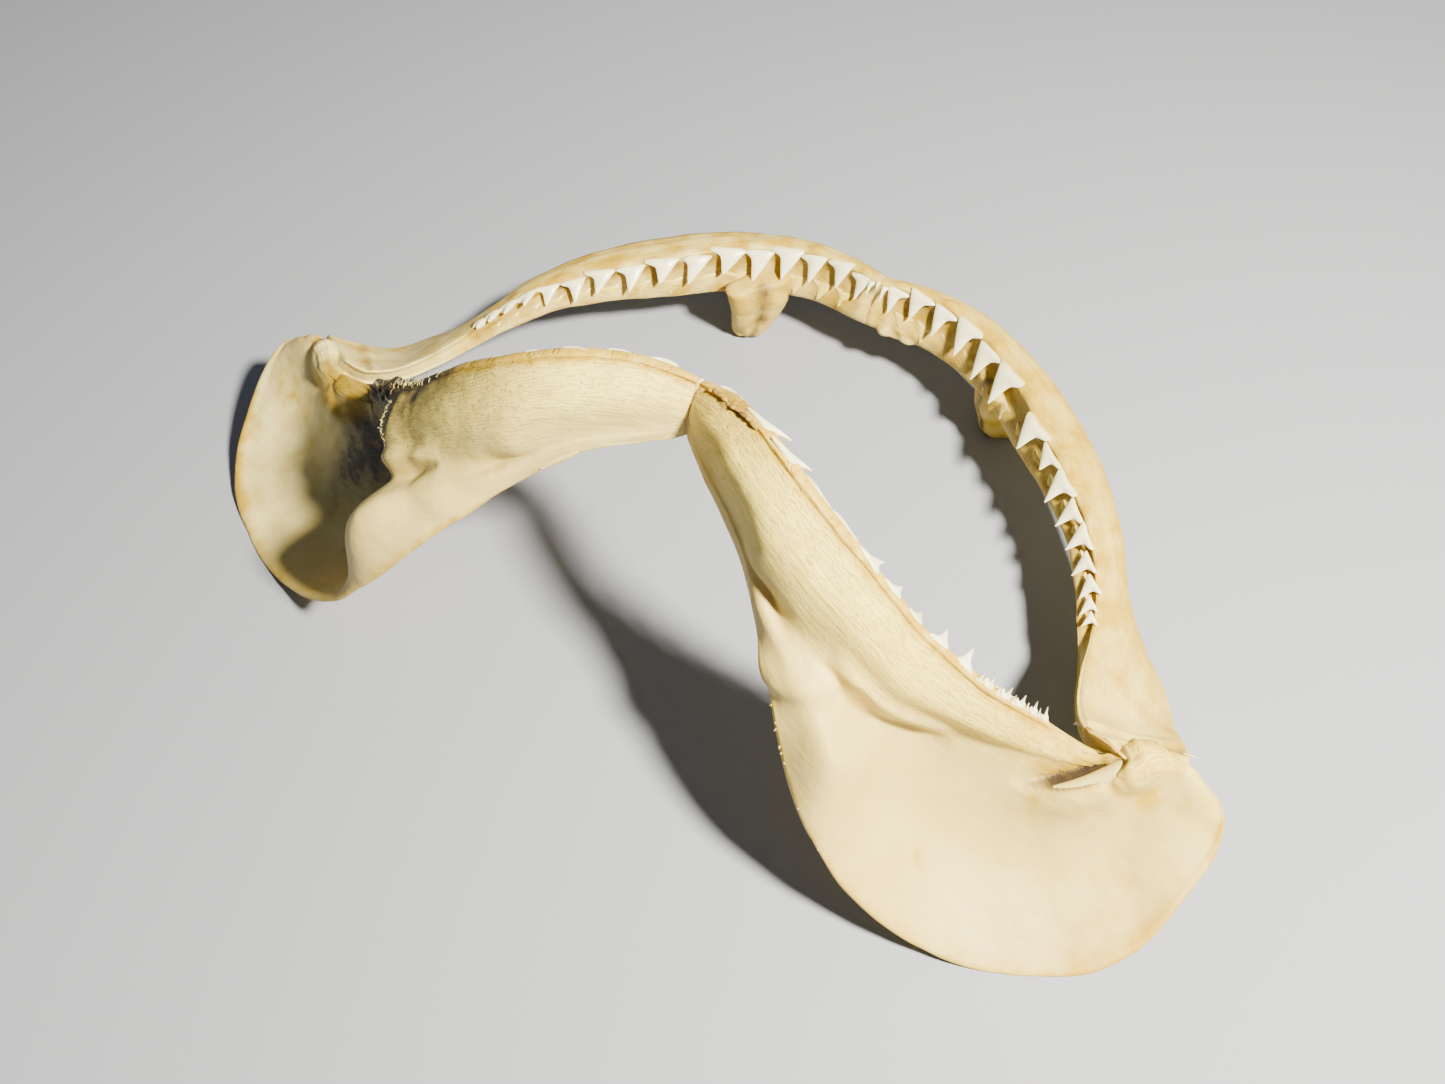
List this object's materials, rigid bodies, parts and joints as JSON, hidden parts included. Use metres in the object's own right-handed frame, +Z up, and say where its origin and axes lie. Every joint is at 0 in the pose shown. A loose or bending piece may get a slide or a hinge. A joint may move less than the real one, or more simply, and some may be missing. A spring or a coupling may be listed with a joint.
{
  "type": "shark jaw",
  "caption": "Dried pair of shark jaws, opened to about a right angle and lying as they rest: lower jaw standing in front, upper jaw level behind.",
  "frame": {"origin": "floor level, under the middle of the jaws' box", "axes": "+Z up; +X towards the animal's left; +Y from the standing lower jaw towards the level upper jaw"},
  "size_m": [0.291, 0.174, 0.0953],
  "materials": {
    "cartilage": "dried cartilage, ivory, half matt, with fine fibres",
    "tooth": "white tooth enamel, satin",
    "gum": "dried gum and tissue, amber to brown, thin and stained"
  },
  "bodies": {
    "root": {"lower_jaw_left": "cartilage", "lower_jaw_right": "cartilage", "upper_jaw_left": "cartilage", "upper_jaw_right": "cartilage"}
  },
  "joints": []
}
